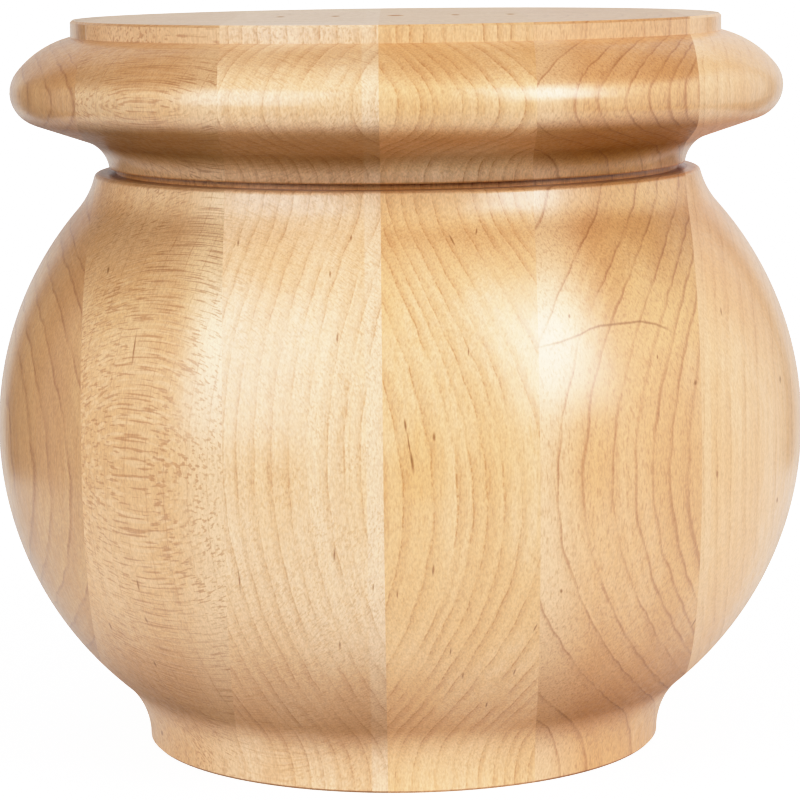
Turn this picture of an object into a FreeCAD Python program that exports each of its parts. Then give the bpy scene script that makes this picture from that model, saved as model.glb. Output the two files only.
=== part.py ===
import FreeCAD, Part
import enum
import math
import os

import Sketcher

# Bun foot: a squat turned foot for a cabinet or chest, one solid piece of glued-up maple.
# It stands on its sole at z = 0, with the axis of turning on Z, and the cabinet rests on its flat top.
# The turned profile, from the top down: a plain band, a bead, a coved neck, a quirk (a narrow
# parting cut), a round shoulder lip, a short collar, the belly, and an ankle that sweeps to the sole.

# Driving sizes, in millimetres and degrees
SIZES = {
    "foot_height": 114.3,
    "belly_diameter": 127.0,
    # top band
    "top_diameter": 101.6,
    "top_band_height": 2.6,
    "top_ease": 0.35,
    # bead, between the band's foot and the neck
    "bead_diameter": 120.8,
    "bead_crown_height": 8.5,
    "bead_crown_radius": 15.3,
    "bead_nose_radius": 5.0,
    "bead_under_angle": 18.8,
    # neck: from the bead's widest ring down to the shoulder, and the quirk at its foot
    "neck_drop": 12.7,
    "neck_diameter": 90.3,
    "quirk_height": 0.9,
    "quirk_depth": 1.1,
    # shoulder lip and the collar under it
    "lip_diameter": 95.3,
    "lip_round": 0.8,
    "collar_radius": 12.7,
    "collar_lean_angle": 14.7,
    # ankle and sole
    "sole_diameter": 81.4,
    "sole_ease": 0.4,
    "ankle_radius": 13.5,
    # marks that the lathe's driver and tail centre leave in the two ends
    "drive_mark_diameter": 2.8,
    "drive_mark_depth": 1.4,
    "pin_mark_diameter": 1.5,
    "pin_mark_depth": 0.8,
    "inner_pin_spacing": 18.8,
    "outer_pin_spacing": 36.0,
    "tail_mark_diameter": 4.0,
    "tail_mark_depth": 2.5,
}

NODE = "turned_foot"
FULL_TURN = 360

doc = FreeCAD.newDocument("bun_foot")
sheet = doc.addObject("Spreadsheet::Sheet", "sizes")
for row, (alias, value) in enumerate(SIZES.items(), start=1):
    sheet.set("A%d" % row, alias)
    sheet.set("B%d" % row, str(value))
    sheet.setAlias("B%d" % row, alias)
doc.recompute()


def size(alias):
    """A driving size, as the sheet holds it."""
    return float(sheet.get(alias))


def point(radius, height):
    """A point of the profile: distance from the axis, height above the sole."""
    return FreeCAD.Vector(radius, height, 0)


def heading(degrees):
    """A unit direction in the profile's plane, turned up from pointing straight out."""
    return point(math.cos(math.radians(degrees)), math.sin(math.radians(degrees)))


def toward(start, end, distance):
    """The point at a distance from start, on the way to end."""
    return start + (end - start).normalize() * distance


def lower_crossing(center_a, radius_a, center_b, radius_b):
    """The lower of the two points where two circles cross."""
    reach = center_b - center_a
    span = reach.Length
    along = (radius_a ** 2 - radius_b ** 2 + span ** 2) / (2 * span)
    across = math.sqrt(radius_a ** 2 - along ** 2)
    foot = center_a + reach * (along / span)
    side = point(-reach.y, reach.x) * (across / span)
    return min(foot + side, foot - side, key=lambda corner: corner.y)


def belly_circle(limit, collar, collar_radius, ankle, ankle_radius):
    """Centre and radius of the circle that touches the line radius = limit from inside
    and both coves, collar above and ankle below, from outside."""
    def terms(cove, radius):
        reach = limit + radius
        return 2 * (reach - cove.x), reach ** 2 - cove.x ** 2, cove.y
    # slope * centre.x = level - (centre.y - height)^2 holds for each cove
    slope_a, level_a, height_a = terms(collar, collar_radius)
    slope_b, level_b, height_b = terms(ankle, ankle_radius)
    square = slope_b - slope_a
    linear = 2 * (slope_a * height_b - slope_b * height_a)
    constant = slope_b * (height_a ** 2 - level_a) - slope_a * (height_b ** 2 - level_b)
    root = math.sqrt(linear ** 2 - 4 * square * constant)
    heights = [(-linear + root) / (2 * square), (-linear - root) / (2 * square)]
    middle = (height_a + height_b) / 2
    height = min(heights, key=lambda value: abs(value - middle))
    center = point((level_a - (height - height_a) ** 2) / slope_a, height)
    return center, limit - center.x


# Where the profile's corners and centres lie, worked out from the driving sizes

# Top face, band and its eased edge
top = size("foot_height")
top_ease = size("top_ease")
band_foot = point(size("top_diameter") / 2, top - size("top_band_height"))
band_head = point(band_foot.x, top - top_ease)
top_corner = point(band_foot.x - top_ease, top)

# Bead: a flat crown arc, a tight nose arc, and a straight underside
bead_level = band_foot.y - size("bead_crown_height")
nose_radius = size("bead_nose_radius")
crown_radius = size("bead_crown_radius")
nose_center = point(size("bead_diameter") / 2 - nose_radius, bead_level)
crown_center = lower_crossing(band_foot, crown_radius, nose_center, crown_radius - nose_radius)
crown_end = toward(crown_center, nose_center, crown_radius)
under_normal = heading(size("bead_under_angle") - 90)
nose_end = nose_center + under_normal * nose_radius

# Neck: the cove that fits between the bead's underside, the neck's ring and the shoulder's level
shoulder_level = bead_level - size("neck_drop")
neck_radius = size("neck_diameter") / 2
neck_reach = point(neck_radius, shoulder_level) - nose_end
cove_radius = neck_reach.dot(under_normal) / (1 - under_normal.x)
cove_center = point(neck_radius + cove_radius, shoulder_level)
cove_start = cove_center - under_normal * cove_radius

# Quirk: cut in under the neck's lower edge, along the shoulder
quirk_height = size("quirk_height")
quirk_top = shoulder_level + quirk_height
quirk_back = neck_radius - size("quirk_depth")
neck_edge = point(cove_center.x - math.sqrt(cove_radius ** 2 - quirk_height ** 2), quirk_top)
quirk_roof = point(quirk_back, quirk_top)
quirk_floor = point(quirk_back, shoulder_level)

# Shoulder lip and collar
lip_round = size("lip_round")
collar_radius = size("collar_radius")
collar_normal = heading(size("collar_lean_angle"))
lip_center = point(size("lip_diameter") / 2 - lip_round, shoulder_level - lip_round)
lip_start = point(lip_center.x, shoulder_level)
lip_end = lip_center + collar_normal * lip_round
collar_center = lip_center + collar_normal * (lip_round + collar_radius)

# Ankle, sole and belly
ankle_radius = size("ankle_radius")
sole_radius = size("sole_diameter") / 2
sole_ease = size("sole_ease")
ankle_end = point(sole_radius, sole_ease)
ankle_center = ankle_end + point(ankle_radius, 0)
sole_corner = point(sole_radius - sole_ease, 0)
belly_limit = size("belly_diameter") / 2
belly_center, belly_radius = belly_circle(
    belly_limit, collar_center, collar_radius, ankle_center, ankle_radius)
collar_end = toward(collar_center, belly_center, collar_radius)
ankle_start = toward(ankle_center, belly_center, ankle_radius)

# Centre marks on the axis
drive_mark = point(size("drive_mark_diameter") / 2, top)
drive_tip = point(0, top - size("drive_mark_depth"))
tail_mark = point(size("tail_mark_diameter") / 2, 0)
tail_tip = point(0, size("tail_mark_depth"))

# The half section that is turned about Z: sketch x is the radius, sketch y the height
body = doc.addObject("PartDesign::Body", NODE)
body.Label = NODE
planes = {feature.Role: feature for feature in body.Origin.OriginFeatures}
profile = body.newObject("Sketcher::SketchObject", "turned_profile")
profile.AttachmentSupport = [(planes["XZ_Plane"], "")]
profile.MapMode = "FlatFace"


class PointOf(enum.IntEnum):
    """How the sketch numbers the points of a line or an arc."""
    START = enum.auto()
    END = enum.auto()
    CENTER = enum.auto()


START, END, CENTER = PointOf
# The sketch counts its own axes downward from minus one, and its origin is the x axis's start
SKETCH_X, SKETCH_Y = (-int(place) for place in (START, END))
ORIGIN = (SKETCH_X, START)


def line(start, end, construction=False):
    return profile.addGeometry(Part.LineSegment(start, end), construction)


def arc(center, radius, first, last):
    """An arc of the profile, drawn counter-clockwise from first to last."""
    first_angle, last_angle = (
        math.atan2(corner.y - center.y, corner.x - center.x) for corner in (first, last))
    circle = Part.Circle(center, FreeCAD.Vector(0, 0, 1), radius)
    return profile.addGeometry(Part.ArcOfCircle(circle, first_angle, last_angle), False)


def rule(kind, *args):
    return profile.addConstraint(Sketcher.Constraint(kind, *args))


def dimension(name, formula, kind, *args):
    """A dimension of the sketch, with its value bound to the sheet."""
    profile.renameConstraint(rule(kind, *args), name)
    profile.setExpression("Constraints.%s" % name, formula)


axis_line = line(tail_tip, drive_tip)
drive_cone = line(drive_tip, drive_mark)
top_face = line(drive_mark, top_corner)
top_bevel = line(top_corner, band_head)
band = line(band_head, band_foot)
crown_arc = arc(crown_center, crown_radius, crown_end, band_foot)
nose_arc = arc(nose_center, nose_radius, nose_end, crown_end)
bead_under = line(nose_end, cove_start)
cove_arc = arc(cove_center, cove_radius, cove_start, neck_edge)
roof_line = line(neck_edge, quirk_roof)
back_line = line(quirk_roof, quirk_floor)
shoulder = line(quirk_floor, lip_start)
lip_arc = arc(lip_center, lip_round, lip_end, lip_start)
collar_arc = arc(collar_center, collar_radius, lip_end, collar_end)
belly_arc = arc(belly_center, belly_radius, ankle_start, collar_end)
ankle_arc = arc(ankle_center, ankle_radius, ankle_start, ankle_end)
sole_bevel = line(ankle_end, sole_corner)
sole_face = line(sole_corner, tail_mark)
tail_cone = line(tail_mark, tail_tip)

# Construction lines: the neck's narrowest ring, the belly's widest ring, the collar's lean
neck_gauge = line(point(neck_radius, shoulder_level), point(neck_radius, quirk_top), True)
belly_gauge = line(point(belly_limit, 0), point(belly_limit, top), True)
lean_gauge = line(lip_center, collar_center, True)

# Corners where two edges meet at an angle
for first, first_end, second, second_end in (
    (axis_line, END, drive_cone, START),
    (drive_cone, END, top_face, START),
    (top_face, END, top_bevel, START),
    (top_bevel, END, band, START),
    (band, END, crown_arc, END),
    (cove_arc, END, roof_line, START),
    (roof_line, END, back_line, START),
    (back_line, END, shoulder, START),
    (ankle_arc, END, sole_bevel, START),
    (sole_bevel, END, sole_face, START),
    (sole_face, END, tail_cone, START),
    (tail_cone, END, axis_line, START),
    (lean_gauge, START, lip_arc, CENTER),
    (lean_gauge, END, collar_arc, CENTER),
):
    rule("Coincident", first, first_end, second, second_end)

# Joins where one edge runs smoothly into the next
for first, first_end, second, second_end in (
    (crown_arc, START, nose_arc, END),
    (nose_arc, START, bead_under, START),
    (bead_under, END, cove_arc, START),
    (shoulder, END, lip_arc, END),
    (lip_arc, START, collar_arc, START),
    (collar_arc, END, belly_arc, END),
    (belly_arc, START, ankle_arc, START),
):
    rule("Tangent", first, first_end, second, second_end)
rule("Tangent", neck_gauge, cove_arc)
rule("Tangent", belly_gauge, belly_arc)

for edge in (top_face, roof_line, shoulder):
    rule("Horizontal", edge)
for edge in (band, back_line, neck_gauge, belly_gauge):
    rule("Vertical", edge)
rule("Horizontal", ankle_arc, CENTER, ankle_arc, END)
for edge, end, track in (
    (axis_line, START, SKETCH_Y),
    (axis_line, END, SKETCH_Y),
    (sole_face, START, SKETCH_X),
    (sole_face, END, SKETCH_X),
    (cove_arc, CENTER, shoulder),
    (neck_gauge, START, shoulder),
    (neck_gauge, END, roof_line),
    (belly_gauge, START, SKETCH_X),
    (belly_gauge, END, top_face),
):
    rule("PointOnObject", edge, end, track)

# Radii of the arcs
for name, alias, edge in (
    ("crown_radius", "bead_crown_radius", crown_arc),
    ("nose_radius", "bead_nose_radius", nose_arc),
    ("lip_round", "lip_round", lip_arc),
    ("collar_radius", "collar_radius", collar_arc),
    ("ankle_radius", "ankle_radius", ankle_arc),
):
    dimension(name, "sizes." + alias, "Radius", edge, size(alias))

# Distances from the axis
for name, formula, edge, end, distance in (
    ("top_half", "sizes.top_diameter / 2", band, END, band_foot.x),
    ("top_flat", "sizes.top_diameter / 2 - sizes.top_ease", top_face, END, top_corner.x),
    ("drive_half", "sizes.drive_mark_diameter / 2", drive_cone, END, drive_mark.x),
    ("nose_half", "sizes.bead_diameter / 2 - sizes.bead_nose_radius", nose_arc, CENTER, nose_center.x),
    ("neck_half", "sizes.neck_diameter / 2", neck_gauge, START, neck_radius),
    ("quirk_half", "sizes.neck_diameter / 2 - sizes.quirk_depth", back_line, END, quirk_back),
    ("lip_half", "sizes.lip_diameter / 2 - sizes.lip_round", lip_arc, CENTER, lip_center.x),
    ("belly_half", "sizes.belly_diameter / 2", belly_gauge, START, belly_limit),
    ("sole_half", "sizes.sole_diameter / 2", ankle_arc, END, sole_radius),
    ("sole_flat", "sizes.sole_diameter / 2 - sizes.sole_ease", sole_face, START, sole_corner.x),
    ("tail_half", "sizes.tail_mark_diameter / 2", tail_cone, START, tail_mark.x),
):
    dimension(name, formula, "DistanceX", *ORIGIN, edge, end, distance)

# Heights, each from the lower point to the upper one
for alias, lower, lower_end, upper, upper_end in (
    ("foot_height", *ORIGIN, top_face, END),
    ("top_band_height", band, END, top_face, END),
    ("top_ease", band, START, top_face, END),
    ("drive_mark_depth", drive_cone, START, drive_cone, END),
    ("bead_crown_height", nose_arc, CENTER, band, END),
    ("neck_drop", shoulder, START, nose_arc, CENTER),
    ("quirk_height", back_line, END, back_line, START),
    ("sole_ease", *ORIGIN, ankle_arc, END),
    ("tail_mark_depth", *ORIGIN, tail_cone, END),
):
    dimension(alias, "sizes." + alias, "DistanceY", lower, lower_end, upper, upper_end, size(alias))

# Angles, counted up from straight out
for alias, edge, end in (
    ("bead_under_angle", bead_under, END),
    ("collar_lean_angle", lean_gauge, START),
):
    dimension(alias, "sizes.%s * 1 deg" % alias, "Angle", SKETCH_X, START, edge, end,
              math.radians(size(alias)))
doc.recompute()

turning = body.newObject("PartDesign::Revolution", "turning")
turning.Profile = profile
turning.ReferenceAxis = (profile, ["V_Axis"])
turning.Angle = FULL_TURN
doc.recompute()
turned_volume = turning.Shape.Volume

# Four pin marks of the lathe's driver, in a row through the middle of the top
for ring in ("inner", "outer"):
    for side, sign in (("right", 1), ("left", -1)):
        dent = body.newObject("PartDesign::SubtractiveCone", "%s_%s_pin_mark" % (ring, side))
        dent.AttachmentSupport = [(planes["XY_Plane"], "")]
        dent.MapMode = "FlatFace"
        dent.setExpression("AttachmentOffset.Base.x", "%d * sizes.%s_pin_spacing / 2" % (sign, ring))
        dent.setExpression("AttachmentOffset.Base.z", "sizes.foot_height - sizes.pin_mark_depth")
        dent.Radius1 = 0
        dent.setExpression("Radius2", "sizes.pin_mark_diameter / 2")
        dent.setExpression("Height", "sizes.pin_mark_depth")
        body.Tip = dent
doc.recompute()

# What is written out is one sound solid, with the marks cut
for item in doc.Objects:
    faults = {"Invalid", "Error"} & set(item.State)
    if faults:
        raise RuntimeError("%s: %s" % (item.Name, ", ".join(sorted(faults))))
if body.Shape.isNull() or not body.Shape.isValid() or len(body.Shape.Solids) != 1:
    raise RuntimeError("the foot is not one sound solid")
if not body.Shape.Volume < turned_volume:
    raise RuntimeError("the pin marks cut nothing")

os.makedirs("parts", exist_ok=True)
body.Shape.exportStep("parts/%s.step" % body.Label)
box = body.Shape.optimalBoundingBox()
print("%s: %.1f mm tall, %.1f mm wide" % (body.Label, box.ZLength, box.XLength))
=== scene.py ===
import functools
import math
import random

import bmesh
import bpy
from mathutils import Matrix, Vector


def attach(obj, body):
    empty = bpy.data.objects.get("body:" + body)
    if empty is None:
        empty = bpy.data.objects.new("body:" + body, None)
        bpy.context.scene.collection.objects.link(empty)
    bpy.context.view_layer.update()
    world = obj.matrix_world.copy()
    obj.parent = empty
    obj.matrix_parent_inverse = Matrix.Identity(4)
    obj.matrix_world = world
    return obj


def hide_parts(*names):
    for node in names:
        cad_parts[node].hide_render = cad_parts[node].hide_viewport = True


# Bun foot, dressed: the turned form again as a fine lathe mesh, sawn along its glue lines into the six
# maple boards that the blank was made of, each with a solid wood of its own.
# Lengths are millimetres, as in the part's source, and go over to Blender's metres at MM.

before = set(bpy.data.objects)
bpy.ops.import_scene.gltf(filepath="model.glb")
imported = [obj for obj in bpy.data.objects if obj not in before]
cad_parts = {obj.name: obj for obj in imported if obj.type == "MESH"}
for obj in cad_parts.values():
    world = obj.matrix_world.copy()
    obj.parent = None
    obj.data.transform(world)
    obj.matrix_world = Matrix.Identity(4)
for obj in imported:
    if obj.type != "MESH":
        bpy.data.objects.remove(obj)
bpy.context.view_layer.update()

MM = 0.001
NODE = "turned_foot"
BODY = "root"

# Turned profile, the driving sizes of the part's source
FOOT_HEIGHT = 114.3
BELLY_DIAMETER = 127.0
TOP_DIAMETER = 101.6
TOP_BAND_HEIGHT = 2.6
TOP_EASE = 0.35
BEAD_DIAMETER = 120.8
BEAD_CROWN_HEIGHT = 8.5
BEAD_CROWN_RADIUS = 15.3
BEAD_NOSE_RADIUS = 5.0
BEAD_UNDER_ANGLE = 18.8
NECK_DROP = 12.7
NECK_DIAMETER = 90.3
QUIRK_HEIGHT = 0.9
QUIRK_DEPTH = 1.1
LIP_DIAMETER = 95.3
LIP_ROUND = 0.8
COLLAR_RADIUS = 12.7
COLLAR_LEAN_ANGLE = 14.7
SOLE_DIAMETER = 81.4
SOLE_EASE = 0.4
ANKLE_RADIUS = 13.5

# Heights of the band's foot, the bead's widest line and the shoulder
BAND_LEVEL = FOOT_HEIGHT - TOP_BAND_HEIGHT
BEAD_LEVEL = BAND_LEVEL - BEAD_CROWN_HEIGHT
SHOULDER_LEVEL = BEAD_LEVEL - NECK_DROP

# Dents of the lathe's driver in the top and of its tail center in the sole: place on X, diameter, depth
DRIVER_DENTS = ((0.0, 2.8, 1.4), (-9.4, 1.5, 0.8), (9.4, 1.5, 0.8), (-18.0, 1.5, 0.8), (18.0, 1.5, 0.8))
TAIL_DENTS = ((0.0, 4.0, 2.5),)

# Fineness of the mesh: steps round the axis and round a dent, length of a step along the profile and the
# fewest on an arc, how near an edge lies to the rim that it belongs to, and the least angle of a sharp edge
TURN_STEPS = 288
DENT_STEPS = 24
ARC_STEP = 0.9
ARC_LEAST = 6
RIM_TOLERANCE = TOP_EASE / 10
SHARP_ANGLE = math.radians(24)

# Photograph: square frame, camera fitted to the outline; lengths in millimetres, angles in degrees
CAMERA_DISTANCE = 507.94
CAMERA_HEIGHT = 127.24
CAMERA_PITCH = 8.265
CAMERA_ROLL = -0.681
CAMERA_LENS = 145.0
CAMERA_SENSOR = 36.0


def heading(degrees):
    """A unit direction in the profile's plane, turned up from pointing straight out."""
    return Vector((math.cos(math.radians(degrees)), math.sin(math.radians(degrees))))


def toward(start, end, distance):
    return start + (end - start).normalized() * distance


def lower_crossing(center_a, radius_a, center_b, radius_b):
    """The lower of the two points where two circles cross."""
    reach = center_b - center_a
    span = reach.length
    along = (radius_a ** 2 - radius_b ** 2 + span ** 2) / (2 * span)
    across = math.sqrt(radius_a ** 2 - along ** 2)
    foot = center_a + reach * (along / span)
    side = Vector((-reach.y, reach.x)) * (across / span)
    return min(foot + side, foot - side, key=lambda corner: corner.y)


def belly_circle(limit, collar, collar_radius, ankle, ankle_radius):
    """Center and radius of the circle that touches the line radius = limit from inside
    and both coves, collar above and ankle below, from outside."""
    def terms(cove, radius):
        reach = limit + radius
        return 2 * (reach - cove.x), reach ** 2 - cove.x ** 2, cove.y
    slope_a, level_a, height_a = terms(collar, collar_radius)
    slope_b, level_b, height_b = terms(ankle, ankle_radius)
    square = slope_b - slope_a
    linear = 2 * (slope_a * height_b - slope_b * height_a)
    constant = slope_b * (height_a ** 2 - level_a) - slope_a * (height_b ** 2 - level_b)
    root = math.sqrt(linear ** 2 - 4 * square * constant)
    heights = [(-linear + root) / (2 * square), (-linear - root) / (2 * square)]
    middle = (height_a + height_b) / 2
    height = min(heights, key=lambda value: abs(value - middle))
    center = Vector(((level_a - (height - height_a) ** 2) / slope_a, height))
    return center, limit - center.x


def arc(center, first, last):
    """Points along the arc about center from first to last, the short way, both ends included."""
    start, end = first - center, last - center
    sweep = math.atan2(start.x * end.y - start.y * end.x, start.dot(end))
    steps = max(ARC_LEAST, math.ceil(abs(sweep) * start.length / ARC_STEP))
    return [center + Matrix.Rotation(sweep * step / steps, 2) @ start for step in range(steps + 1)]


def straight(first, last):
    steps = max(1, math.ceil((last - first).length / ARC_STEP))
    return [first.lerp(last, step / steps) for step in range(steps + 1)]


def turned_profile():
    """The half section from the top face's rim down to the sole's rim, as (radius, height)."""
    band_foot = Vector((TOP_DIAMETER / 2, BAND_LEVEL))
    band_head = Vector((band_foot.x, FOOT_HEIGHT - TOP_EASE))
    top_corner = Vector((band_foot.x - TOP_EASE, FOOT_HEIGHT))

    nose_center = Vector((BEAD_DIAMETER / 2 - BEAD_NOSE_RADIUS, BEAD_LEVEL))
    crown_center = lower_crossing(
        band_foot, BEAD_CROWN_RADIUS, nose_center, BEAD_CROWN_RADIUS - BEAD_NOSE_RADIUS)
    crown_end = toward(crown_center, nose_center, BEAD_CROWN_RADIUS)
    under_normal = heading(BEAD_UNDER_ANGLE - 90)
    nose_end = nose_center + under_normal * BEAD_NOSE_RADIUS

    neck_radius = NECK_DIAMETER / 2
    neck_reach = Vector((neck_radius, SHOULDER_LEVEL)) - nose_end
    cove_radius = neck_reach.dot(under_normal) / (1 - under_normal.x)
    cove_center = Vector((neck_radius + cove_radius, SHOULDER_LEVEL))
    cove_start = cove_center - under_normal * cove_radius

    quirk_top = SHOULDER_LEVEL + QUIRK_HEIGHT
    quirk_back = neck_radius - QUIRK_DEPTH
    neck_edge = Vector((cove_center.x - math.sqrt(cove_radius ** 2 - QUIRK_HEIGHT ** 2), quirk_top))

    collar_normal = heading(COLLAR_LEAN_ANGLE)
    lip_center = Vector((LIP_DIAMETER / 2 - LIP_ROUND, SHOULDER_LEVEL - LIP_ROUND))
    lip_start = Vector((lip_center.x, SHOULDER_LEVEL))
    lip_end = lip_center + collar_normal * LIP_ROUND
    collar_center = lip_center + collar_normal * (LIP_ROUND + COLLAR_RADIUS)

    ankle_end = Vector((SOLE_DIAMETER / 2, SOLE_EASE))
    ankle_center = ankle_end + Vector((ANKLE_RADIUS, 0))
    sole_corner = Vector((ankle_end.x - SOLE_EASE, 0))
    belly_center, belly_radius = belly_circle(
        BELLY_DIAMETER / 2, collar_center, COLLAR_RADIUS, ankle_center, ANKLE_RADIUS)
    collar_end = toward(collar_center, belly_center, COLLAR_RADIUS)
    ankle_start = toward(ankle_center, belly_center, ANKLE_RADIUS)

    runs = (
        [top_corner, band_head],
        straight(band_head, band_foot),
        arc(crown_center, band_foot, crown_end),
        arc(nose_center, crown_end, nose_end),
        straight(nose_end, cove_start),
        arc(cove_center, cove_start, neck_edge),
        [neck_edge, Vector((quirk_back, quirk_top)), Vector((quirk_back, SHOULDER_LEVEL))],
        straight(Vector((quirk_back, SHOULDER_LEVEL)), lip_start),
        arc(lip_center, lip_start, lip_end),
        arc(collar_center, lip_end, collar_end),
        arc(belly_center, collar_end, ankle_start),
        arc(ankle_center, ankle_start, ankle_end),
        [ankle_end, sole_corner],
    )
    points = [runs[0][0]]
    for run in runs:
        points.extend(run[1:])
    return points


def rim_of(bm, height):
    """The ring of edges at one height that still has a face on one side only."""
    return [edge for edge in bm.edges if edge.is_boundary
            and all(abs(vert.co.z - height * MM) < RIM_TOLERANCE * MM for vert in edge.verts)]


def close_end(bm, height, dents, inward):
    """Fills the flat end at a height, with its conical dents."""
    edges = rim_of(bm, height)
    cones = []
    for place, diameter, depth in dents:
        ring = bmesh.ops.create_circle(
            bm, segments=DENT_STEPS, radius=diameter / 2 * MM,
            matrix=Matrix.Translation((place * MM, 0, height * MM)))["verts"]
        loop = {edge for vert in ring for edge in vert.link_edges}
        edges.extend(loop)
        cones.append((loop, Vector((place, 0, height + inward * depth)) * MM))
    bmesh.ops.triangle_fill(bm, edges=edges, use_beauty=True)
    for loop, tip_place in cones:
        tip = bm.verts.new(tip_place)
        for edge in loop:
            bm.faces.new((*edge.verts, tip))


def turned_blank():
    """The whole foot as one closed lathe mesh."""
    bm = bmesh.new()
    chain = [bm.verts.new((point.x * MM, 0, point.y * MM)) for point in turned_profile()]
    edges = [bm.edges.new(pair) for pair in zip(chain, chain[1:])]
    bmesh.ops.spin(bm, geom=chain + edges, axis=(0, 0, 1), cent=(0, 0, 0),
                   angle=2 * math.pi, steps=TURN_STEPS, use_merge=True)
    close_end(bm, FOOT_HEIGHT, DRIVER_DENTS, -1)
    close_end(bm, 0, TAIL_DENTS, 1)
    bmesh.ops.recalc_face_normals(bm, faces=bm.faces)
    return bm


def saw(blank, left, right):
    """The part of the blank between two glue lines, closed by its glue faces."""
    bm = blank.copy()
    for place, outward in ((left, -1), (right, 1)):
        if place is None:
            continue
        cut = bmesh.ops.bisect_plane(
            bm, geom=bm.verts[:] + bm.edges[:] + bm.faces[:],
            plane_co=(place * MM, 0, 0), plane_no=(outward, 0, 0), clear_outer=True)
        bmesh.ops.edgeloop_fill(
            bm, edges=[part for part in cut["geom_cut"] if isinstance(part, bmesh.types.BMEdge)])
    bmesh.ops.recalc_face_normals(bm, faces=bm.faces)
    return bm


# Map for baking: the place of each stretch of a board's skin, as left, bottom, right and top.
# The outer boards have one side in place of a front and a back, and no sole.
MAP_NAME = "OFBake"
MAP_PLACES = {
    "front_lower": (0.00, 0.00, 0.24, 1.00),
    "back_lower": (0.25, 0.00, 0.49, 1.00),
    "front_upper": (0.50, 0.00, 0.74, 0.49),
    "back_upper": (0.50, 0.51, 0.74, 1.00),
    "side_lower": (0.00, 0.00, 0.49, 1.00),
    "side_upper": (0.50, 0.00, 0.87, 0.49),
    "top": (0.75, 0.51, 0.87, 1.00),
    "sole": (0.75, 0.00, 0.87, 0.49),
    "glue_left": (0.88, 0.51, 1.00, 1.00),
    "glue_right": (0.88, 0.00, 1.00, 0.49),
}

# Decimals of a millimetre to which the length along the profile is looked up
MAP_DIGITS = 3

# Which stretch a face is on: how near it lies to a plane, how squarely a glue face looks along X, and the
# room that the dents take under a flat end. A stretch spans some angle even where it runs out.
PLANE_TOLERANCE = 0.004
SQUARE_LEAST = 0.995
DENT_ROOM = 3.0
ANGLE_LEAST = 0.0001


class Runs:
    """How far along the turned profile a point lies."""

    def __init__(self, points):
        self.points = points
        self.sums = [0.0]
        for first, second in zip(points, points[1:]):
            self.sums.append(self.sums[-1] + (second - first).length)
        self.split = self.length_at(LIP_DIAMETER / 2 - LIP_ROUND, SHOULDER_LEVEL)

    @functools.lru_cache(maxsize=None)
    def length_at(self, radius, height):
        """Length of the profile from its start to its point nearest to a radius and height."""
        best = None
        for index, (first, second) in enumerate(zip(self.points, self.points[1:])):
            step = second - first
            share = (Vector((radius, height)) - first).dot(step) / step.length_squared
            share = min(1.0, max(0.0, share))
            gap = (first + step * share - Vector((radius, height))).length
            if best is None or gap < best[0]:
                best = (gap, self.sums[index] + share * step.length)
        return best[1]

    def rise(self, radius, height, part):
        """From 0 at the foot of the upper or lower part to 1 at its head."""
        length = self.length_at(round(radius, MAP_DIGITS), round(height, MAP_DIGITS))
        if part == "upper":
            return 1 - length / self.split
        return (self.sums[-1] - length) / (self.sums[-1] - self.split)


def skin_stretch(board, center, normal):
    """The name of the stretch of skin that a face belongs to."""
    radius = math.hypot(center.x, center.y)
    if abs(normal.x) > SQUARE_LEAST:
        for side in ("left", "right"):
            if board[side] is not None and abs(center.x - board[side]) < PLANE_TOLERANCE:
                return "glue_" + side
    if radius < TOP_DIAMETER / 2 - TOP_EASE and center.z > FOOT_HEIGHT - DENT_ROOM:
        return "top"
    if radius < SOLE_DIAMETER / 2 - SOLE_EASE and center.z < DENT_ROOM:
        return "sole"
    part = "upper" if center.z > SHOULDER_LEVEL - PLANE_TOLERANCE else "lower"
    if None in (board["left"], board["right"]):
        return "side_" + part
    return ("front_" if center.y < 0 else "back_") + part


def across_skin(board, stretch, point):
    """Where a point lies from left to right on its stretch of skin, seen from outside, from 0 to 1."""
    radius = math.hypot(point.x, point.y)

    def angle(x):
        return math.asin(max(-1.0, min(1.0, x / radius)))

    if board["left"] is None:
        half = max(ANGLE_LEAST, math.pi / 2 + angle(board["right"]))
        return 0.5 + math.atan2(-point.y, -point.x) / half / 2
    if board["right"] is None:
        half = max(ANGLE_LEAST, math.pi / 2 - angle(board["left"]))
        return 0.5 + math.atan2(point.y, point.x) / half / 2
    start, end = angle(board["left"]), angle(board["right"])
    share = (angle(point.x) - start) / (end - start)
    return share if stretch.startswith("front") else 1 - share


def lay_out(mesh, board, runs):
    """Gives the board a map for baking, with most of its room for the skin that shows."""
    layer = mesh.uv_layers.new(name=MAP_NAME)
    rim = BELLY_DIAMETER / 2
    left = -rim if board["left"] is None else board["left"]
    right = rim if board["right"] is None else board["right"]
    for face in mesh.polygons:
        stretch = skin_stretch(board, face.center / MM, face.normal)
        for corner in face.loop_indices:
            point = mesh.vertices[mesh.loops[corner].vertex_index].co / MM
            if stretch == "top":
                place = ((point.x - left) / (right - left), 0.5 + point.y / TOP_DIAMETER)
            elif stretch == "sole":
                place = ((point.x - left) / (right - left), 0.5 - point.y / SOLE_DIAMETER)
            elif stretch == "glue_left":
                place = (0.5 - point.y / BELLY_DIAMETER, point.z / FOOT_HEIGHT)
            elif stretch == "glue_right":
                place = (0.5 + point.y / BELLY_DIAMETER, point.z / FOOT_HEIGHT)
            else:
                rise = runs.rise(math.hypot(point.x, point.y), point.z, stretch.split("_")[1])
                place = (across_skin(board, stretch, point), rise)
            x0, y0, x1, y1 = MAP_PLACES[stretch]
            layer.uv[corner].vector = (x0 + place[0] * (x1 - x0), y0 + place[1] * (y1 - y0))


# Wood: each board is a solid block of maple, grain upright, cut from its own place in a trunk

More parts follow.
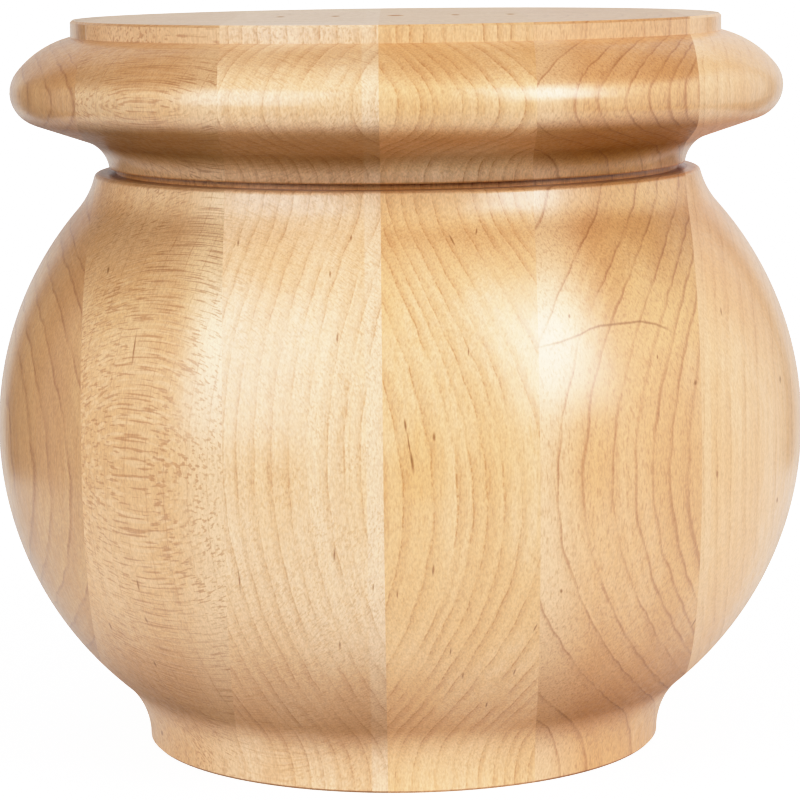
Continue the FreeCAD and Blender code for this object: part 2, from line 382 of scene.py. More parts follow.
# Figure: a grain is a size in millimetres across, across and up, or out from the pith, round it and up;
# a range is where the noise starts to show and where it shows in full
WANDER_GRAIN = (20.0, 20.0, 34.0)
RAGGED_GRAIN = (2.4, 2.4, 5.0)
RAGGED = 0.45
UNEVEN_GRAIN = (5.0, 5.0, 12.0)
UNEVEN_RANGE = (0.3, 0.62)
CLOUD_GRAIN = (9.0, 9.0, 26.0)
CLOUD_RANGE = (0.34, 0.66)
FIBRE_GRAIN = (0.8, 0.8, 9.0)
FIBRE_RANGE = (0.3, 0.7)
FIBRE_SHARE = 0.5
SPECKLE_GRAIN = (0.24, 0.24, 0.6)
SPECKLE_RANGE = (0.3, 0.7)
SPECKLE_TONE = (0.88, 1.08)
VESSEL_GRAIN = (0.32, 0.32, 1.8)
VESSEL_RANGE = (0.54, 0.68)
PLATE_GRAIN = (10.0, 0.14, 0.9)
PLATE_RANGE = (0.5, 0.62)
DASH_GRAIN = (9.0, 0.12, 0.55)
DASH_RANGE = (0.53, 0.64)
PATCH_GRAIN = (4.0, 4.0, 7.0)
PATCH_RANGE = (0.35, 0.62)
PATCH_LEAST = 0.45
GRIT_GRAIN = (0.4, 0.4, 0.7)
GRIT_RANGE = (0.36, 0.58)
LAMELLA_GRAIN = (0.5, 16.0, 60.0)
LAMELLA_RANGE = (0.34, 0.66)
LAMELLA_SHARE = 0.14
NOISE_MEAN = (0.5, 0.5, 0.5)
SEED_STEP = 173.0

# Growth rings: spread of the unseen ones about their pitch, step inward that finds how dense they are, width
# of a line's outer side as a share of its inner side, and room for rings beyond the board
RING_SPREAD = (0.65, 1.35)
RING_PROBE = 0.4
LINE_BACK = 0.5
REACH_ROOM = 4.0

# Mineral streaks: half their depth, where they start to fade, their brown and its share
STREAK_DEPTH = 2.5
STREAK_CORE = 0.2
STREAK_COLOR = (0.25, 0.105, 0.022)
STREAK_SHARE = 0.85

# Where a soft spot starts to fade
SPOT_CORE = 0.3

# Brown marks about the driver's dents: half width for each millimetre of the dent, half length, depth and
# share
MARK_SPREAD = 0.6
MARK_LENGTH = 5.0
MARK_DEPTH = 1.0
MARK_SHARE = 0.72

# Hairline: a thin brown streak like a crack that runs across two boards, as (x, z). It comes in over the
# length of its fade and goes out over half of that.
HAIRLINE = ((15.3, 68.7), (19.9, 69.0), (22.8, 69.5), (25.7, 70.3), (27.2, 71.0), (28.7, 71.3),
            (34.7, 71.4), (37.0, 70.8), (38.5, 70.1), (41.2, 68.4))
HAIRLINE_FLOOR = 66.0
HAIRLINE_CEILING = 74.0
HAIRLINE_WIDTH = 0.3
HAIRLINE_FADE = 9.0
HAIRLINE_SHARE = 0.7

# Raw flat ends: their grey and its share, how squarely a face looks up or down, and the saw's marks
RAW_COLOR = (0.42, 0.365, 0.315)
RAW_SHARE = 0.66
RAW_RANGE = (0.97, 0.995)
SAW_GRAIN = (36.0, 0.7, 36.0)
SAW_RANGE = (0.36, 0.64)
SAW_TONE = (0.9, 1.04)

# Share of the pale tone on the band under the top
BAND_SHARE = 0.55

# The quirk and the neck's cove, darkened with painted shade where the groove and the bead's overhang shade
# them:
# middle and half of their height, how far out from the axis the painted shade goes, and its color
QUIRK_MARGIN = 0.18
QUIRK_ROOM = 0.4
QUIRK_LEVEL = (SHOULDER_LEVEL + QUIRK_HEIGHT / 2, QUIRK_HEIGHT / 2 + QUIRK_MARGIN)
QUIRK_REACH = NECK_DIAMETER / 2 + QUIRK_ROOM
QUIRK_SHADE_COLOR = (0.80, 0.58, 0.34)
COVE_FADE = (7.0, 0.5)
COVE_LEVEL = (SHOULDER_LEVEL + NECK_DROP / 2, NECK_DROP / 2)
COVE_REACH = [NECK_DIAMETER / 2 + room for room in COVE_FADE]
COVE_SHADE_COLOR = (0.90, 0.86, 0.76)

# Finish: clear satin lacquer. The range is how far an underside turns down along the fibres where its end
# grain, darker partly as painted shade under the bead and the belly, starts and is full. Roughness goes up
# with the fibres, gloss and coat go down on end grain, and the relief is the vessels' depth.
UNDER_END_AND_SHADE_RANGE = (-0.4, -0.96)
ROUGHNESS = (0.42, 0.55)
GLOSS = (0.3, 0.05)
COAT_WEIGHT = (1.0, 0.2)
COAT_ROUGHNESS = 0.22
RELIEF = 0.012


class Graph:
    """The shader nodes of one material. Each method adds a node and gives its output."""

    def __init__(self, tree):
        self.tree = tree

    def add(self, kind, inputs=(), output=0, **settings):
        """Inputs are pairs of a socket's name or number and a value or another node's output."""
        node = self.tree.nodes.new(kind)
        for name, value in settings.items():
            setattr(node, name, value)
        for key, value in inputs:
            if isinstance(value, bpy.types.NodeSocket):
                self.tree.links.new(value, node.inputs[key])
            else:
                node.inputs[key].default_value = value
        return node.outputs[output]

    def math(self, operation, *values):
        return self.add("ShaderNodeMath", enumerate(values), operation=operation)

    def product(self, first, second):
        return self.math("MULTIPLY", first, second)

    def vector(self, operation, *values):
        return self.add("ShaderNodeVectorMath", enumerate(values), operation=operation)

    def measure(self, operation, *values):
        """A vector operation that gives a number: a length or a dot product."""
        return self.add("ShaderNodeVectorMath", enumerate(values), 1, operation=operation)

    def stretched(self, vector, number):
        return self.add("ShaderNodeVectorMath", (("Vector", vector), ("Scale", number)), operation="SCALE")

    def least(self, values):
        return functools.reduce(lambda first, second: self.math("MINIMUM", first, second), values)

    def split(self, vector):
        return self.add("ShaderNodeSeparateXYZ", [(0, vector)]).node.outputs

    def joined(self, x, y, z):
        return self.add("ShaderNodeCombineXYZ", enumerate((x, y, z)))

    def ease(self, value, start, end, low=0.0, high=1.0):
        """Goes smoothly from low to high as the value goes from start to end."""
        return self.add("ShaderNodeMapRange", enumerate((value, start, end, low, high)),
                        interpolation_type="SMOOTHSTEP")

    def grains(self, place, size, detail=1.0, output=0):
        """Noise whose grains have a size along each axis."""
        inputs = (("Vector", self.vector("DIVIDE", place, size)), ("Scale", 1.0), ("Detail", detail))
        return self.add("ShaderNodeTexNoise", inputs, output)

    def drift(self, place, size, detail=1.0):
        """Noise as a vector about zero."""
        return self.vector("SUBTRACT", self.grains(place, size, detail, "Color"), NOISE_MEAN)

    def curve(self, value, points):
        """A polyline through the points, both axes from 0 to 1."""
        output = self.add("ShaderNodeFloatCurve", [("Value", value)])
        mapping = output.node.mapping
        line = mapping.curves[0]
        line.points[0].location = points[0]
        line.points[1].location = points[-1]
        for point in points[1:-1]:
            line.points.new(*point)
        for point in line.points:
            point.handle_type = "VECTOR"
        mapping.update()
        return output

    def mix(self, share, first, second, blend="MIX"):
        """Two colors mixed. The node keeps its color sockets at 6 and 7 and its color output at 2."""
        return self.add("ShaderNodeMix", ((0, share), (6, first), (7, second)), 2,
                        data_type="RGBA", blend_type=blend)


def opaque(color):
    return (*color, 1.0)


def growth_rings(seen, pitch, near, far, seed):
    """Radii of all rings between near and far: the ones that were measured, and more of about their
    pitch on the sides that the photograph doesn't show."""
    draw = random.Random(seed)
    rings = list(seen)
    while rings[0] > near:
        rings.insert(0, rings[0] - pitch * draw.uniform(*RING_SPREAD))
    while rings[-1] < far:
        rings.append(rings[-1] + pitch * draw.uniform(*RING_SPREAD))
    return rings


def ring_shade(g, board, radius, rings, grit):
    """Late wood: a gritty dark line at each ring's end, and a soft darkening that leads up to it."""
    span = rings[-1] - rings[0]
    points = [((ring - rings[0]) / span, index / (len(rings) - 1)) for index, ring in enumerate(rings)]

    def count(at):
        share = g.math("DIVIDE", g.math("SUBTRACT", at, rings[0]), span)
        return g.product(g.curve(share, points), len(rings) - 1)

    rank = count(radius)
    inner = count(g.math("SUBTRACT", radius, RING_PROBE))
    slope = g.math("DIVIDE", g.math("SUBTRACT", rank, inner), RING_PROBE)
    past = g.math("FRACT", rank)
    ahead = g.math("DIVIDE", g.math("SUBTRACT", 1.0, past), slope)
    behind = g.math("DIVIDE", past, slope)
    line = g.math("MAXIMUM", g.ease(ahead, board["line_width"], 0.0),
                  g.ease(behind, board["line_width"] * LINE_BACK, 0.0))
    line = g.product(line, g.ease(grit, *GRIT_RANGE, board["whole"], 1.0))
    halo = g.ease(ahead, board["halo_width"], 0.0, 0.0, board["halo"])
    return g.math("MAXIMUM", line, halo)


def off_center(g, place, center, size, lean=0.0):
    """Zero at the center of an egg-shaped spot and one on its skin, with a half size along each axis.
    Its top leans to the right by some degrees."""
    local = g.add("ShaderNodeMapping", (
        ("Vector", place), ("Location", center), ("Rotation", (0.0, math.radians(lean), 0.0)),
        ("Scale", size)), vector_type="TEXTURE")
    return g.measure("LENGTH", local)


def spot(g, place, center, size):
    """One in the core of a large soft spot, fading to zero at its skin."""
    return g.ease(off_center(g, place, center, size), 1.0, SPOT_CORE)


def stained(g, color, spots, core, share):
    """The color with brown in the spots, from a share of it in their cores to none at their skins."""
    if not spots:
        return color
    return g.mix(g.ease(g.least(spots), 1.0, core, 0.0, share), color, opaque(STREAK_COLOR))


def hairline(g, place):
    """One on the hairline, on the front only, fading toward both of its ends."""
    x, y, z = g.split(place)
    start, end = HAIRLINE[0][0], HAIRLINE[-1][0]
    rise = HAIRLINE_CEILING - HAIRLINE_FLOOR
    points = [((at - start) / (end - start), (level - HAIRLINE_FLOOR) / rise) for at, level in HAIRLINE]
    along = g.math("DIVIDE", g.math("SUBTRACT", x, start), end - start)
    level = g.math("MULTIPLY_ADD", g.curve(along, points), rise, HAIRLINE_FLOOR)
    off = g.math("ABSOLUTE", g.math("SUBTRACT", z, level))
    line = g.product(g.ease(off, HAIRLINE_WIDTH, 0.0), g.ease(x, start, start + HAIRLINE_FADE))
    line = g.product(line, g.ease(x, end, end - HAIRLINE_FADE / 2))
    return g.product(line, g.math("LESS_THAN", y, 0.0))


def maple(board, near, far):
    """The board's wood, with near and far the distances from the pith that it spans."""
    material = bpy.data.materials.new(board["name"] + "_maple")
    material.use_nodes = True
    g = Graph(material.node_tree)
    place = g.stretched(g.add("ShaderNodeTexCoord", output="Object"), 1 / MM)
    away = g.vector("ADD", place, (board["seed"] * SEED_STEP, 0.0, 0.0))
    x, _, height = g.split(place)

    # Where the wood grew: distance from the pith, and the way round it
    wander = g.drift(away, WANDER_GRAIN)
    ragged = g.drift(away, RAGGED_GRAIN, detail=0.0)
    leaning = g.stretched(board["lean"], g.math("SUBTRACT", height, FOOT_HEIGHT / 2))
    leaning = g.vector("ADD", leaning, (*board["pith"], 0.0))
    grown = g.vector("MULTIPLY", g.vector("SUBTRACT", place, leaning), (1.0, 1.0, 0.0))
    lined = g.vector("ADD", grown, g.vector("MULTIPLY", wander, (board["wander"], board["wander"], 0.0)))
    lined = g.vector("ADD", lined, g.vector("MULTIPLY", ragged, (RAGGED, RAGGED, 0.0)))
    outward = (Vector((board["middle"], 0)) - Vector(board["pith"])).normalized()
    sideways = Vector((-outward.y, outward.x))
    turn = g.math("ARCTAN2", g.measure("DOT_PRODUCT", grown, (*sideways, 0.0)),
                  g.measure("DOT_PRODUCT", grown, (*outward, 0.0)))
    around = g.product(turn, (near + far) / 2)
    depth = g.measure("LENGTH", grown)

    # Rings, broken up along their length
    rings = growth_rings(board["rings"], board["pitch"], near, far, board["seed"])
    grit = g.grains(away, GRIT_GRAIN)
    shade = ring_shade(g, board, g.measure("LENGTH", lined), rings, grit)
    uneven = g.grains(away, UNEVEN_GRAIN)
    shade = g.product(shade, g.ease(uneven, *UNEVEN_RANGE, board["faint"], 1.0))

    # Thin lamellae within the rings
    grown_place = g.vector("ADD", g.joined(depth, around, height), (0.0, 0.0, board["seed"] * SEED_STEP))
    lamella = g.ease(g.grains(grown_place, LAMELLA_GRAIN), *LAMELLA_RANGE)

    # Rays: thin plates that stand on edge and point at the pith, so they show as broad bars where the
    # surface runs along them and as fine dashes elsewhere
    plate = g.ease(g.grains(grown_place, PLATE_GRAIN), *PLATE_RANGE)
    dash = g.ease(g.grains(grown_place, DASH_GRAIN), *DASH_RANGE)
    patch = g.ease(g.grains(away, PATCH_GRAIN), *PATCH_RANGE, PATCH_LEAST, 1.0)
    if "heart" in board:
        patch = g.math("MAXIMUM", patch, spot(g, place, *board["heart"]))
    dash = g.product(dash, patch)

    # Vessels, fibres and the fine speckle between them, all upright, and broad clouds of tone
    vessel = g.ease(g.grains(away, VESSEL_GRAIN), *VESSEL_RANGE)
    fibre = g.ease(g.grains(away, FIBRE_GRAIN), *FIBRE_RANGE)
    speckle = g.ease(g.grains(away, SPECKLE_GRAIN), *SPECKLE_RANGE, *SPECKLE_TONE)
    cloud = g.ease(g.grains(away, CLOUD_GRAIN, detail=0.0), *CLOUD_RANGE)

    # Color of the wood
    pale, warm, brown = (opaque(board[tone]) for tone in ("pale", "warm", "brown"))
    color = g.mix(cloud, pale, warm)
    color = g.mix(g.product(fibre, FIBRE_SHARE), color, warm)
    color = g.mix(g.product(lamella, LAMELLA_SHARE), color, brown)
    color = g.mix(g.product(plate, board["plate"]), color, pale)
    if "stripe" in board:
        inner_edge, outer_edge, lift, tone = board["stripe"]
        color = g.mix(g.ease(x, inner_edge, outer_edge, 0.0, lift), color, opaque(tone))
    color = g.mix(g.product(g.math("GREATER_THAN", height, BAND_LEVEL), BAND_SHARE), color, pale)
    # Painted light and shade: soft spots that lift the tone where the wood should look more lit and lower it
    # where it should look shaded
    for center, size, painted_factor in board["painted_light_and_shade"]:
        color = g.mix(spot(g, place, center, size), color, opaque(painted_factor), "MULTIPLY")
    color = g.mix(g.product(dash, board["dash"]), color, brown)
    color = g.mix(g.product(vessel, board["vessel"]), color, brown)
    color = g.mix(g.product(shade, board["line"]), color, brown)
    streaks = [off_center(g, place, center, (width, STREAK_DEPTH, length), lean)
               for center, width, length, lean in board["streaks"]]
    color = stained(g, color, streaks, STREAK_CORE, STREAK_SHARE)
    if board["hairline"]:
        color = g.mix(g.product(hairline(g, place), HAIRLINE_SHARE), color, opaque(STREAK_COLOR))
    color = wood = g.stretched(color, speckle)

    # End grain drinks more of the finish and is darker, and the same darkening is painted shade on the
    # crown, the upper belly and the undersides; painted shade also darkens the neck's cove and the quirk
    fibre_way = Vector((0.0, board["slope"], 1.0)).normalized()
    normal = g.add("ShaderNodeNewGeometry", output="Normal")
    facing = g.measure("DOT_PRODUCT", normal, (*fibre_way,))
    cut = g.math("MAXIMUM", g.ease(facing, *board["upper"]), g.ease(facing, *UNDER_END_AND_SHADE_RANGE))
    # End grain and painted shade: faces that turn up or down take the board's end tone
    color = g.mix(cut, color, opaque(board["end"]), "MULTIPLY")
    radius = g.measure("LENGTH", g.vector("MULTIPLY", place, (1.0, 1.0, 0.0)))
    # Painted shade in the neck's cove under the bead
    cove = g.product(g.ease(radius, *COVE_REACH), g.math("COMPARE", height, *COVE_LEVEL))
    color = g.mix(cove, color, opaque(COVE_SHADE_COLOR), "MULTIPLY")
    # Painted shade in the quirk's groove
    quirk_shade = g.product(g.math("COMPARE", height, *QUIRK_LEVEL), g.math("LESS_THAN", radius, QUIRK_REACH))
    color = g.mix(quirk_shade, color, opaque(QUIRK_SHADE_COLOR), "MULTIPLY")

    # The flat ends are raw: sawn across, with no finish
    between = g.math("COMPARE", height, FOOT_HEIGHT / 2, FOOT_HEIGHT / 2 - DENT_ROOM)
    raw = g.ease(g.math("ABSOLUTE", g.split(normal)[2]), *RAW_RANGE)
    raw = g.product(raw, g.math("SUBTRACT", 1.0, between))
    sawn = g.ease(g.grains(place, SAW_GRAIN), *SAW_RANGE, *SAW_TONE)
    bare = g.stretched(g.mix(RAW_SHARE, wood, opaque(RAW_COLOR)), sawn)
    color = g.mix(raw, color, bare)
    marks = [off_center(g, place, (mark_x, 0.0, FOOT_HEIGHT),
                        (diameter * MARK_SPREAD, MARK_LENGTH, MARK_DEPTH))
             for mark_x, diameter, _ in DRIVER_DENTS if abs(mark_x - board["middle"]) < board["half"]]
    color = stained(g, color, marks, SPOT_CORE, MARK_SHARE)

    # Lacquer over the wood, and the vessels as fine grooves
    shader = g.tree.nodes["Principled BSDF"]
    g.tree.links.new(color, shader.inputs["Base Color"])
    g.tree.links.new(g.ease(fibre, 0.0, 1.0, *ROUGHNESS), shader.inputs["Roughness"])
    coat = g.ease(cut, 0.0, 1.0, *COAT_WEIGHT)
    g.tree.links.new(g.product(coat, g.math("SUBTRACT", 1.0, raw)), shader.inputs["Coat Weight"])
    shader.inputs["Coat Roughness"].default_value = COAT_ROUGHNESS
    g.tree.links.new(g.ease(cut, 0.0, 1.0, *GLOSS), shader.inputs["Specular IOR Level"])
    bump = g.add("ShaderNodeBump", (("Strength", 1.0), ("Distance", -RELIEF * MM), ("Height", vessel)))
    g.tree.links.new(bump, shader.inputs["Normal"])
    return material


# The boards from left to right, between their glue lines on X; a None is the foot's own side.
# seed: the board's own place in the noise, and its draws of rings that the photograph doesn't show.
# slope: the lean of the fibres toward the back; end: what is left of the tone on end grain, which on faces
# that turn up or down is also painted shade.
# upper: how far a face turns up along the fibres where that starts and is full, and its least and most; on
# the crown and the upper belly this darkening is partly painted shade of the bead.
# pith: the trunk's center on X and Y at half the foot's height; lean: how it moves per millimetre up.
# wander: how far the rings stray; rings: distances of the ring lines from the pith; pitch: of the others.
# pale, warm, brown: the tones of the wood, of its clouds and fibres, and of all dark figure.
# line, line_width: share of brown in a ring line, and its width; whole: how little the line breaks up.
# halo, halo_width: the same for the soft darkening before a line; faint: what weak places keep of both.
# dash, plate, vessel: shares of the rays' dashes, the rays' bars and the vessels.
# hairline: whether it crosses the board.
# stripe: where on X a paler stripe starts and is full, its share and its tone.
# heart: center and half sizes of the spot where the dashes are densest.
# The soft spots of painted light and shade: center and half sizes of a spot, and what the tone is multiplied
# by, above one where the wood is painted as more lit and below one where it is painted as shaded.
# streaks: center, half width, half length and degrees of lean to the right.
BOARDS = (
    dict(name="board_far_left", left=None, right=-46.7, seed=1,
         slope=0.05, end=(0.60, 0.50, 0.40), upper=(0.3, 0.7, 0.0, 0.5),
         pith=(62.5, 1.2), lean=(-0.024, -0.035, 0.0), wander=0.8,
         rings=(114.6, 116.85, 119.0, 120.9, 122.4), pitch=2.1,
         pale=(0.605, 0.34, 0.147), warm=(0.545, 0.287, 0.115), brown=(0.3, 0.12, 0.04),
         line=0.72, line_width=0.32, halo=0.25, halo_width=1.2, faint=0.35, whole=0.6,
         dash=0.12, plate=0.1, vessel=0.2, hairline=False, painted_light_and_shade=(), streaks=()),
    dict(name="board_left", left=-46.7, right=-25.2, seed=2,
         slope=0.15, end=(0.40, 0.31, 0.18), upper=(0.15, 0.6, 0.0, 0.62),
         pith=(-199.0, 74.0), lean=(0.02, 0.0, 0.0), wander=0.5,
         rings=(201.5, 205.5, 208.7), pitch=3.1,
         pale=(0.795, 0.482, 0.255), warm=(0.732, 0.412, 0.192), brown=(0.39, 0.17, 0.055),
         line=0.5, line_width=0.22, halo=0.15, halo_width=0.9, faint=0.3, whole=0.3,
         dash=0.62, plate=0.8, vessel=0.12, hairline=False,
         stripe=(-33.0, -26.0, 0.85, (0.86, 0.56, 0.33)),
         heart=((-38.0, -48.0, 52.0), (11.0, 24.0, 58.0)),
         painted_light_and_shade=(((-40.0, -36.0, 80.0), (17.0, 26.0, 20.0), (1.06, 1.12, 1.14)),
                ((-25.0, -50.0, 80.0), (9.0, 22.0, 22.0), (1.22, 1.34, 1.46)),
                ((-44.0, -36.0, 102.0), (15.0, 22.0, 9.0), (0.90, 0.94, 0.97))),
         streaks=(((-38.3, -46.5, 68.1), 0.17, 3.4, 8), ((-42.8, -34.8, 78.4), 0.25, 0.8, 10),
                  ((-38.5, -47.0, 33.5), 0.2, 1.3, -8), ((-37.6, -44.8, 27.8), 0.24, 0.7, -25),
                  ((-43.6, -36.9, 25.3), 0.2, 0.9, -15), ((-36.9, -39.2, 19.9), 0.2, 0.8, -20),
                  ((-37.9, -15.8, 3.5), 0.3, 0.7, 0))),
    dict(name="board_mid_left", left=-25.2, right=-2.45, seed=3,
         slope=0.12, end=(0.45, 0.35, 0.22), upper=(0.5, 0.8, 0.0, 0.55),
         pith=(-104.8, 11.7), lean=(-0.031, 0.037, 0.0), wander=0.5,
         rings=(107.7, 110.2, 112.6, 114.9, 117.25, 120.0, 122.1, 124.1), pitch=2.4,
         pale=(0.915, 0.615, 0.38), warm=(0.855, 0.53, 0.29), brown=(0.46, 0.21, 0.07),
         line=0.62, line_width=0.3, halo=0.45, halo_width=1.1, faint=0.25, whole=0.25,
         dash=0.35, plate=0.3, vessel=0.16, hairline=False,
         stripe=(-5.0, -4.6, 0.8, (0.915, 0.63, 0.405)),
         painted_light_and_shade=(((-14.0, -48.0, 114.0), (15.0, 24.0, 4.0), (1.02, 1.08, 1.2)),
                ((-14.0, -52.0, 76.0), (14.0, 20.0, 17.0), (1.0, 0.96, 0.92))),
         streaks=(((-8.7, -58.6, 70.9), 0.24, 1.0, 4), ((-9.5, -61.9, 40.5), 0.2, 1.3, 3),
                  ((-9.0, -57.1, 26.5), 0.16, 0.9, 0), ((-6.7, -50.4, 84.2), 0.2, 0.6, 6),
                  ((-9.7, -53.6, 79.4), 0.18, 0.7, 0), ((-23.2, -57.0, 36.1), 0.12, 2.6, -3),
                  ((-4.1, -61.3, 35.6), 0.14, 0.9, 4), ((-23.0, -46.2, 83.3), 0.18, 0.7, 0))),
    dict(name="board_middle", left=-2.45, right=19.65, seed=4,
         slope=0.0, end=(0.60, 0.51, 0.40), upper=(0.5, 0.8, 0.0, 0.75),
         pith=(32.9, -29.5), lean=(0.034, -0.060, 0.0), wander=0.6,
         rings=(27.7, 30.2, 33.2, 35.6, 37.3, 39.1, 40.5, 41.85, 44.3, 47.3), pitch=2.4,
         pale=(0.90, 0.56, 0.30), warm=(0.84, 0.485, 0.225), brown=(0.48, 0.21, 0.06),
         line=0.8, line_width=0.3, halo=0.42, halo_width=1.2, faint=0.2, whole=0.15,
         dash=0.2, plate=0.15, vessel=0.24, hairline=True,
         painted_light_and_shade=(((8.0, -40.0, 3.0), (16.0, 20.0, 14.0), (1.10, 1.18, 1.34)),
                ((8.5, -46.0, 94.5), (16.0, 14.0, 5.5), (1.05, 1.22, 1.48)),
                ((3.0, -62.5, 54.0), (5.0, 8.0, 9.0), (0.95, 0.90, 0.80))),
         streaks=(((0.7, -62.7, 59.0), 0.24, 1.4, -6), ((1.6, -63.3, 53.9), 0.3, 2.2, -8),
                  ((1.2, -63.1, 56.2), 0.16, 2.4, -8), ((4.7, -62.8, 57.3), 0.3, 0.9, -3),
                  ((4.4, -62.0, 38.2), 0.24, 1.3, 4), ((-0.7, -61.1, 34.6), 0.16, 0.9, 0),
                  ((7.7, -50.6, 83.7), 0.2, 1.4, -28), ((9.7, -59.3, 68.8), 0.16, 0.8, 0),
                  ((11.2, -49.0, 84.8), 0.16, 0.7, 10), ((19.0, -55.5, 28.3), 0.18, 1.0, 25),
                  ((16.1, -52.2, 21.1), 0.16, 0.8, 15), ((8.6, -54.0, 21.1), 0.16, 0.8, 8),
                  ((12.1, -48.8, 15.4), 0.18, 0.7, 10), ((6.8, -56.7, 25.2), 0.16, 0.9, 5))),
    dict(name="board_mid_right", left=19.65, right=43.8, seed=5,
         slope=0.15, end=(0.45, 0.33, 0.18), upper=(0.2, 0.6, 0.0, 0.6),
         pith=(-46.0, -8.5), lean=(-0.012, -0.006, 0.0), wander=0.7,
         rings=(76.1, 81.5, 85.1, 87.3, 89.8, 91.7, 93.2, 94.6, 96.0), pitch=2.6,
         pale=(0.87, 0.495, 0.245), warm=(0.805, 0.43, 0.185), brown=(0.36, 0.14, 0.045),
         line=0.68, line_width=0.34, halo=0.2, halo_width=1.3, faint=0.4, whole=0.75,
         dash=0.15, plate=0.12, vessel=0.3, hairline=True,
         stripe=(28.0, 20.5, 0.9, (0.89, 0.56, 0.32)),
         painted_light_and_shade=(((38.0, -38.0, 80.0), (15.0, 24.0, 20.0), (1.10, 1.18, 1.16)),
                ((20.0, -54.0, 80.0), (11.0, 22.0, 20.0), (1.16, 1.24, 1.32)),
                ((32.0, -34.0, 94.5), (17.0, 16.0, 5.5), (0.86, 0.80, 0.56))),
         streaks=(((22.7, -56.5, 33.8), 0.3, 0.5, 0), ((43.5, -36.6, 24.7), 0.2, 1.2, 28),
                  ((42.9, -45.0, 62.0), 0.35, 0.5, 0), ((37.1, -48.4, 66.3), 0.2, 0.5, 0),
                  ((24.2, -53.0, 72.9), 0.25, 0.4, 0))),
    dict(name="board_far_right", left=43.8, right=None, seed=6,
         slope=0.0, end=(0.80, 0.70, 0.60), upper=(0.4, 0.8, 0.0, 0.3),
         pith=(-150.0, -25.0), lean=(0.0, 0.0, 0.0), wander=0.4,
         rings=(195.2, 197.1, 199.0, 201.4, 203.4, 206.6), pitch=2.2,
         pale=(0.925, 0.565, 0.305), warm=(0.875, 0.50, 0.245), brown=(0.46, 0.2, 0.065),
         line=0.5, line_width=0.26, halo=0.3, halo_width=1.0, faint=0.25, whole=0.4,
         dash=0.12, plate=0.1, vessel=0.15, hairline=False,
         stripe=(45.5, 45.1, 0.8, (0.88, 0.53, 0.28)),
         painted_light_and_shade=(((54.0, -28.0, 84.0), (20.0, 30.0, 26.0), (0.94, 0.87, 0.80)),),
         streaks=(((46.2, -43.5, 48.3), 0.2, 0.9, 0), ((57.1, -25.9, 41.2), 0.25, 0.7, 0),
                  ((57.6, -24.5, 59.5), 0.22, 0.8, 0), ((47.6, -34.9, 71.2), 0.18, 0.8, -5))),
)


def pith_reach(mesh, pith):
    """Nearest and farthest distance of a board's points from its pith, with some room."""
    spans = [math.hypot(vert.co.x / MM - pith[0], vert.co.y / MM - pith[1]) for vert in mesh.vertices]
    return min(spans) - REACH_ROOM, max(spans) + REACH_ROOM


def add_board(blank, board, runs):
    """Saws a board out of the blank, notes its middle and half width, and dresses it."""
    bm = saw(blank, board["left"], board["right"])
    mesh = bpy.data.meshes.new(board["name"])
    bm.to_mesh(mesh)
    bm.free()
    mesh.shade_smooth()
    mesh.set_sharp_from_angle(angle=SHARP_ANGLE)
    lay_out(mesh, board, runs)
    places = [vert.co.x / MM for vert in mesh.vertices]
    board["middle"] = (min(places) + max(places)) / 2
    board["half"] = (max(places) - min(places)) / 2
    mesh.materials.append(maple(board, *pith_reach(mesh, board["pith"])))
    piece = bpy.data.objects.new(board["name"], mesh)
    bpy.context.scene.collection.objects.link(piece)
    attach(piece, BODY)
    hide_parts(NODE)


blank = turned_blank()
runs = Runs(turned_profile())
for board in BOARDS:
    add_board(blank, board, runs)
blank.free()


# Camera at the photograph's view
lens = bpy.data.cameras.new("photo_camera")
lens.lens = CAMERA_LENS
lens.sensor_width = CAMERA_SENSOR
camera = bpy.data.objects.new("photo_camera", lens)
camera.matrix_world = (
    Matrix.Translation((0, -CAMERA_DISTANCE * MM, CAMERA_HEIGHT * MM))
    @ Matrix.Rotation(math.radians(90 - CAMERA_PITCH), 4, "X")
    @ Matrix.Rotation(math.radians(CAMERA_ROLL), 4, "Z"))
bpy.context.scene.collection.objects.link(camera)
bpy.context.scene.camera = camera

# Studio: white floor and white surroundings, softboxes at the front, and fill from the sides, top and back
WHITE = (1.0, 1.0, 1.0, 1.0)
FLOOR_RADIUS = 0.24
FLOOR_STEPS = 96
FLOOR_GLOW = 1.2
FLOOR_TONE = 0.7
FLOOR_ROUGHNESS = 0.9
AIR_LIGHT = 0.06
AIM = Vector((0, 0, FOOT_HEIGHT * MM / 2))

# Lights: name, azimuth and elevation in degrees, distance, width and height in metres, radiance, mirrored
SOFTBOXES = (
    ("softbox_left", -45, 27, 2.2, 1.6, 1.9, 3.2, True),
    ("softbox_left_core", -45, 27, 2.2, 0.9, 1.1, 4.6, True),
    ("softbox_right", 48, 31, 2.2, 1.3, 1.7, 3.8, True),
    ("softbox_right_core", 49, 29, 2.2, 0.7, 1.0, 6.2, True),
    ("softbox_top", 0, 82, 1.5, 1.2, 1.2, 1.8, False),
    ("reflector_left", -85, 2, 1.0, 1.4, 0.8, 0.4, True),
    ("reflector_right", 95, 10, 1.0, 1.8, 1.0, 0.7, True),
    ("backdrop", 180, 12, 0.8, 1.1, 1.2, 0.7, True),
    ("softbox_back", 180, 15, 2.2, 1.8, 1.6, 1.8, False),
)

# Film: the light that comes out white, and pairs of a light and the tone that it is shown with
FILM_WHITE = 2.0
FILM = ((0.3, 0.3), (0.5, 0.5), (0.7, 0.67), (0.9, 0.805), (1.1, 0.895), (1.4, 0.96))


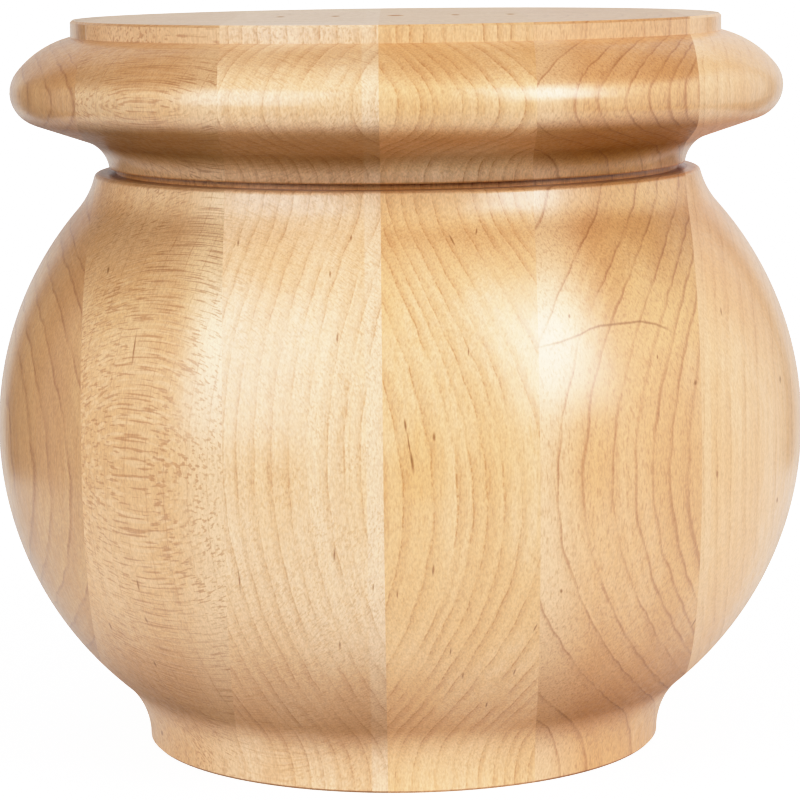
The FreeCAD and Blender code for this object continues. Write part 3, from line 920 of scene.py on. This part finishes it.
def softbox(name, azimuth, elevation, distance, width, height, radiance, mirrored):
    """A rectangular area light that faces the foot, at an azimuth counted right from the camera.
    One that isn't mirrored lights the wood without a highlight of its own."""
    lamp = bpy.data.lights.new(name, "AREA")
    lamp.shape = "RECTANGLE"
    lamp.size = width
    lamp.size_y = height
    lamp.energy = radiance * math.pi * width * height
    box = bpy.data.objects.new(name, lamp)
    turn, rise = math.radians(azimuth), math.radians(elevation)
    away = Vector((math.sin(turn) * math.cos(rise), -math.cos(turn) * math.cos(rise), math.sin(rise)))
    box.location = AIM + away * distance
    box.rotation_mode = "QUATERNION"
    box.rotation_quaternion = away.to_track_quat("Z", "Y")
    box.visible_camera = False
    box.visible_glossy = mirrored
    bpy.context.scene.collection.objects.link(box)


for row in SOFTBOXES:
    softbox(*row)

# The floor glows for the camera only, so that it comes out white
floor_mesh = bpy.data.meshes.new("floor")
floor_bm = bmesh.new()
bmesh.ops.create_circle(floor_bm, cap_ends=True, segments=FLOOR_STEPS, radius=FLOOR_RADIUS)
floor_bm.to_mesh(floor_mesh)
floor_bm.free()
floor_paint = bpy.data.materials.new("white_floor")
floor_paint.use_nodes = True
floor_shader = floor_paint.node_tree.nodes["Principled BSDF"]
floor_shader.inputs["Base Color"].default_value = opaque((FLOOR_TONE,) * 3)
floor_shader.inputs["Roughness"].default_value = FLOOR_ROUGHNESS
floor_shader.inputs["Specular IOR Level"].default_value = 0
floor_shader.inputs["Emission Color"].default_value = WHITE
paint = Graph(floor_paint.node_tree)
seen = paint.add("ShaderNodeLightPath", output="Is Camera Ray")
floor_paint.node_tree.links.new(paint.product(seen, FLOOR_GLOW), floor_shader.inputs["Emission Strength"])
floor_mesh.materials.append(floor_paint)
floor = bpy.data.objects.new("floor", floor_mesh)
bpy.context.scene.collection.objects.link(floor)

# The surroundings are white for the camera and dim for the wood
world = bpy.data.worlds.new("white_studio")
world.use_nodes = True
air = Graph(world.node_tree)
dim = world.node_tree.nodes["Background"]
dim.inputs["Color"].default_value = WHITE
dim.inputs["Strength"].default_value = AIR_LIGHT
seen = air.add("ShaderNodeLightPath", output="Is Camera Ray")
white = air.add("ShaderNodeBackground", (("Color", WHITE), ("Strength", FILM_WHITE)))
both = air.add("ShaderNodeMixShader", enumerate((seen, dim.outputs[0], white)))
world.node_tree.links.new(both, world.node_tree.nodes["World Output"].inputs["Surface"])
bpy.context.scene.world = world

# Bright tones roll off gently, as they do in the photograph; the fourth curve acts on all colors
view = bpy.context.scene.view_settings
view.view_transform = "Standard"
view.use_curve_mapping = True
film = view.curve_mapping
film.white_level = (FILM_WHITE,) * 3
tone = film.curves[3]
for level, shown in FILM:
    tone.points.new(level / FILM_WHITE, shown)
film.update()
